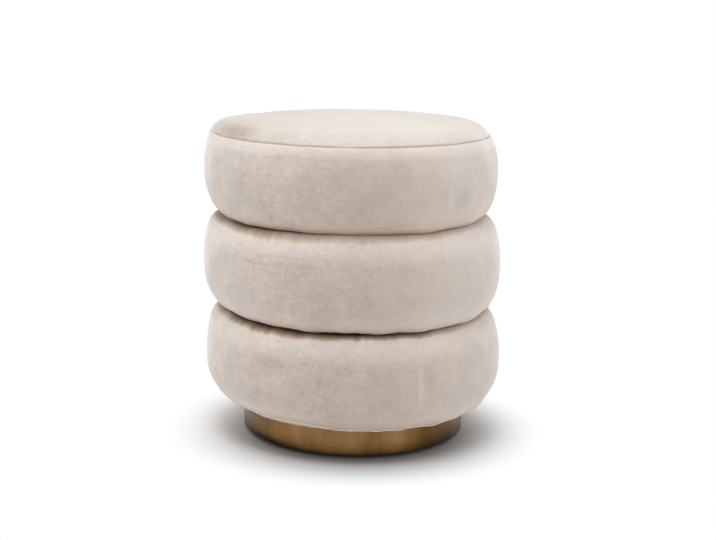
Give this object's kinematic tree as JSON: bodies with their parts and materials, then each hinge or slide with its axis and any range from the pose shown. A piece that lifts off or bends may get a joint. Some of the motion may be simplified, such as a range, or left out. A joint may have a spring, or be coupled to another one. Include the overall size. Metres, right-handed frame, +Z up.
{
  "type": "round pouf",
  "caption": "Round pouf of stacked bulging velvet tiers with a crowned, seamed seat, on a low recessed brass-finished plinth.",
  "frame": {"origin": "centre of the footprint, on the floor under the glides", "axes": "+Z up along the pouf's axis, +Y towards the joint at the back of the plinth hoop"},
  "size_m": [0.3729, 0.373, 0.4],
  "materials": {
    "velvet": "matte",
    "wadding": "matte",
    "foam": "matte",
    "plywood": "matte",
    "pine": "matte",
    "fibreboard": "matte",
    "brass_finish": "satin",
    "zinc_steel": "satin",
    "dust_cloth": "matte",
    "glide_nylon": "satin"
  },
  "bodies": {
    "root": {"seat_top_panel": "velvet", "seat_side_band": "velvet", "seat_wadding": "wadding", "seat_foam_pad": "foam", "seat_foam_ring": "foam", "seat_board": "plywood", "seat_posts": "pine", "seat_wall": "plywood", "seat_lower_board": "plywood", "seat_frame_screws": "zinc_steel", "middle_cover": "velvet", "middle_wadding": "wadding", "middle_foam_ring": "foam", "middle_upper_board": "plywood", "middle_posts": "pine", "middle_wall": "plywood", "middle_lower_board": "plywood", "middle_frame_screws": "zinc_steel", "bottom_cover": "velvet", "bottom_wadding": "wadding", "bottom_foam_ring": "foam", "bottom_upper_board": "plywood", "bottom_posts": "pine", "bottom_wall": "plywood", "bottom_lower_board": "plywood", "bottom_frame_screws": "zinc_steel", "seat_joint_bolts": "zinc_steel", "seat_joint_nuts": "zinc_steel", "base_joint_bolts": "zinc_steel", "base_joint_nuts": "zinc_steel", "plinth_bolts": "zinc_steel", "plinth_nuts": "zinc_steel", "plinth_upper_board": "fibreboard", "plinth_lower_board": "fibreboard", "plinth_hoop": "brass_finish", "dust_cover": "dust_cloth", "glides": "glide_nylon", "glide_nails": "zinc_steel"}
  },
  "joints": []
}
